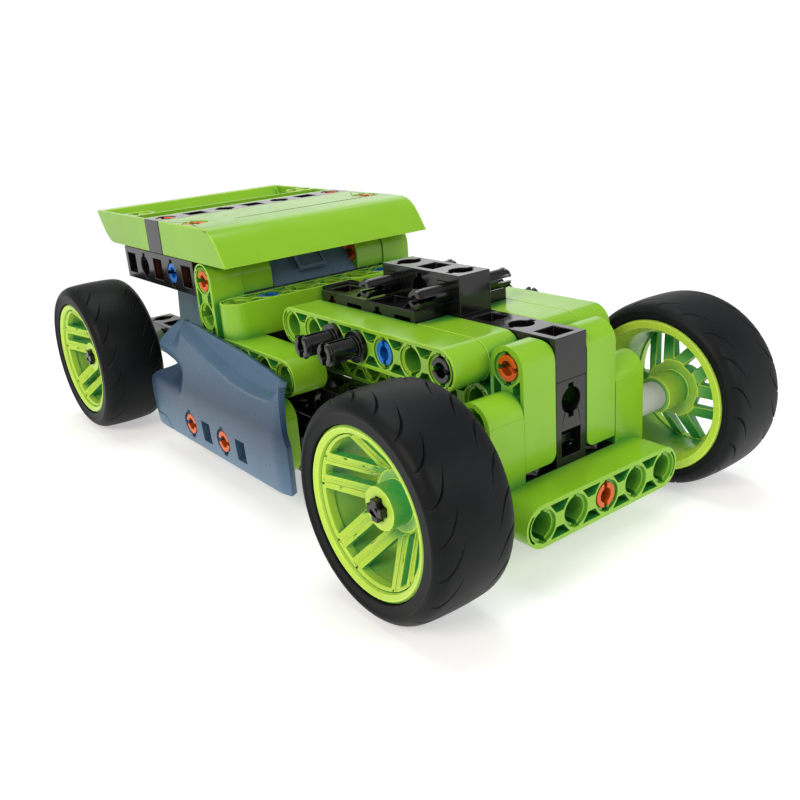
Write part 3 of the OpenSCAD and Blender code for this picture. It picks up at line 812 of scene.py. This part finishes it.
def fairing_material(context):
    """Satin slate with painted light: paler low down as a painted reflection of the floor, and darker along
    its crease as painted shade.
    """
    material = slate_materials(context)[0].copy()
    material.name = "slate_fairing"
    nodes = Nodes(material.node_tree)
    surface = next(node for node in material.node_tree.nodes if node.type == "GROUP")
    tone = tuple(context.scene.kit_colours.slate)
    place = nodes.add("ShaderNodeTexCoord").outputs["Object"]
    height = nodes.add("ShaderNodeSeparateXYZ", {0: place}).outputs["Z"]
    low, crease, lip = (float(lattice(0, 0, z)[2]) for z in (-0.6, 1.0, 1.9))
    below = nodes.span(height, low, crease, 0, 1)
    above = nodes.span(height, lip, crease, 0.45, 1)
    shade = nodes.math("MULTIPLY", below, above)
    # Painted light: the tone runs from a paler painted floor reflection at the bottom to a dark painted
    # shade at the crease.
    body = nodes.blend(shade, (*tinted(tone, 0.88, 1.1, 1.2), 1), (*tinted(tone, 0.22, 0.29, 0.4), 1))
    material.node_tree.links.new(body, surface.inputs["Tone"])
    # The painted corner shade is weaker on the fairing.
    surface.inputs["Depth"].default_value = 0.25
    return material


class KITCAR_OT_panes(Operator):
    """Makes the windscreen and the rear pane with rounded edges"""

    bl_idname = "kitcar.panes"
    bl_label = "Panes"

    def execute(self, context):
        for node in ("windscreen", "rear_window"):
            round_off(node, context.scene.kit_sizes.shell_edge, slate_materials(context))
        return {"FINISHED"}


# ---- Stage ----

# The camera's place is on the lattice, the paper's distances are in metres from the origin, and the
# horizon band's limits are sines of the elevation.
CAMERA_PLACE = (-14.01, -12.511, 8.897)
CAMERA_AZIMUTH = math.radians(-36.61)
CAMERA_ELEVATION = math.radians(19.714)
CAMERA_ROLL = math.radians(-4.353)
CAMERA_LENS = 40.005
PAPER_MATT, PAPER_GLOWING = 0.13, 0.32
BAND_FULL, BAND_END = 0.12, 0.33
BAND_STRENGTH, ROOM_STRENGTH = 1.05, 0.4
FLOOR_RINGS = (1e-4, 0.1, 0.3, 0.6, 1.0, 1.6, 3.0)
FLOOR_SIDES = 96


def floor_material():
    """Lit paper that glows: a little near the car, where it takes the shadow and the glow paints light into
    it, and white further out.
    """
    material = bpy.data.materials.new("pale_floor")
    material.use_nodes = True
    nodes = Nodes(material.node_tree)
    shader = material.node_tree.nodes["Principled BSDF"]
    place = nodes.add("ShaderNodeTexCoord").outputs["Object"]
    away = nodes.add("ShaderNodeVectorMath", {0: place}, operation="LENGTH").outputs["Value"]
    # Painted light: the glow is 0.45 near the car, which lightens the cast shadow, and full further out.
    glow = nodes.span(away, PAPER_MATT, PAPER_GLOWING, 0.45, 1.0)
    base = nodes.blend(glow, (1.3, 1.3, 1.3, 1), (0, 0, 0, 1))
    relief = nodes.relief(nodes.noise(place, 900.0, 2.0), 0.05)
    material.node_tree.links.new(base, shader.inputs["Base Color"])
    material.node_tree.links.new(glow, shader.inputs["Emission Color"])
    material.node_tree.links.new(relief, shader.inputs["Normal"])
    shader.inputs["Emission Strength"].default_value = 1.0
    shader.inputs["Roughness"].default_value = 0.9
    shader.inputs["Specular IOR Level"].default_value = 0.0
    return material


class KITCAR_OT_stage(Operator):
    """Makes the pale flat floor, the soft lights and the camera"""

    bl_idname = "kitcar.stage"
    bl_label = "Stage"

    def execute(self, context):
        self.add_floor()
        self.add_lights(context.scene)
        self.add_camera(context.scene)
        return {"FINISHED"}

    @staticmethod
    def add_floor():
        """A flat disc of rings round a pinhole under the car's middle."""
        radius = np.array(FLOOR_RINGS)
        angle = np.linspace(0, 2 * math.pi, FLOOR_SIDES, endpoint=False)
        points = np.stack(
            [radius[:, None] * np.cos(angle), radius[:, None] * np.sin(angle),
             np.full((len(radius), len(angle)), CAD_LOW.z)], -1)
        floor = new_piece("floor", mesh_from_grid("floor", points, along=True), [floor_material()])

    @staticmethod
    def add_lights(scene):
        """A dim room with a white band at its horizon, and four soft lamps turned to the car's middle."""
        world = bpy.data.worlds.new("studio")
        world.use_nodes = True
        nodes = Nodes(world.node_tree)
        height = nodes.add("ShaderNodeTexCoord").outputs["Generated"]
        height = nodes.add("ShaderNodeSeparateXYZ", {0: height}).outputs["Z"]
        above = nodes.math("ABSOLUTE", height)
        band = nodes.span(above, BAND_FULL, BAND_END, BAND_STRENGTH, ROOM_STRENGTH)
        background = world.node_tree.nodes["Background"]
        background.inputs["Color"].default_value = (1, 1, 1, 1)
        world.node_tree.links.new(band, background.inputs["Strength"])
        scene.world = world
        middle = (CAD_LOW + CAD_HIGH) / 2
        # Name, place and width in metres, power in watts, and tint of each lamp.
        lights = (
            ("key", (-0.9, -0.3, 0.75), 0.5, 6.0, (1.0, 0.93, 0.78)),
            ("front", (0.25, -0.9, 0.6), 0.4, 2.6, (1.0, 1.0, 1.0)),
            ("top", (0.1, 0.2, 1.1), 0.7, 4.6, (0.94, 1.0, 0.98)),
            ("back", (0.8, 0.9, 0.7), 0.8, 1.4, (1.0, 1.0, 1.0)),
        )
        for name, place, size, power, tint in lights:
            light = bpy.data.lights.new(name, "AREA")
            light.shape = "DISK"
            light.size = size
            light.energy = power
            light.color = tint
            lamp = bpy.data.objects.new(name, light)
            lamp.location = place
            lamp.rotation_euler = (middle - Vector(place)).to_track_quat("-Z", "Y").to_euler()
            scene.collection.objects.link(lamp)

    @staticmethod
    def add_camera(scene):
        """Camera looking back along its azimuth and elevation, then rolled about its own axis."""
        back = Vector((
            math.sin(CAMERA_AZIMUTH) * math.cos(CAMERA_ELEVATION),
            -math.cos(CAMERA_AZIMUTH) * math.cos(CAMERA_ELEVATION),
            math.sin(CAMERA_ELEVATION)))
        right = (-back).cross(Vector((0, 0, 1))).normalized()
        up = back.cross(right)
        rolled_right = math.cos(CAMERA_ROLL) * right + math.sin(CAMERA_ROLL) * up
        rolled_up = math.cos(CAMERA_ROLL) * up - math.sin(CAMERA_ROLL) * right
        turn = Matrix((rolled_right, rolled_up, back)).transposed()
        lens = bpy.data.cameras.new("camera")
        lens.lens = CAMERA_LENS
        lens.sensor_width = 36
        lens.clip_start = 0.01
        camera = bpy.data.objects.new("camera", lens)
        camera.matrix_world = Matrix.Translation(lattice(*CAMERA_PLACE)) @ turn.to_4x4()
        scene.collection.objects.link(camera)
        scene.camera = camera
        scene.view_settings.view_transform = "Standard"


class KITCAR_PT_sidebar(Panel):
    """Lists the steps in the order in which they are run"""

    bl_label = "Kit hot rod"
    bl_idname = "KITCAR_PT_sidebar"
    bl_space_type = "VIEW_3D"
    bl_region_type = "UI"
    bl_category = "Kit hot rod"

    def draw(self, context):
        for operator in OPERATORS:
            self.layout.operator(operator.bl_idname)
        for settings in (context.scene.kit_sizes, context.scene.kit_colours):
            box = self.layout.box()
            for name in settings.__annotations__:
                box.prop(settings, name)


OPERATORS = (
    KITCAR_OT_stage, KITCAR_OT_lime_mouldings, KITCAR_OT_black_mouldings, KITCAR_OT_pins, KITCAR_OT_rims,
    KITCAR_OT_tyres, KITCAR_OT_fairings, KITCAR_OT_panes)
CLASSES = (KitSizes, KitColours, *OPERATORS, KITCAR_PT_sidebar)


def register():
    for item in CLASSES:
        bpy.utils.register_class(item)
    bpy.types.Scene.kit_sizes = PointerProperty(type=KitSizes)
    bpy.types.Scene.kit_colours = PointerProperty(type=KitColours)


def unregister():
    del bpy.types.Scene.kit_colours
    del bpy.types.Scene.kit_sizes
    for item in reversed(CLASSES):
        bpy.utils.unregister_class(item)


def main():
    """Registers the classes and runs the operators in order."""
    register()
    bpy.ops.kitcar.stage()
    bpy.ops.kitcar.lime_mouldings()
    bpy.ops.kitcar.black_mouldings()
    bpy.ops.kitcar.pins()
    bpy.ops.kitcar.rims()
    bpy.ops.kitcar.tyres()
    bpy.ops.kitcar.fairings()
    bpy.ops.kitcar.panes()


if __name__ == "__main__":
    main()
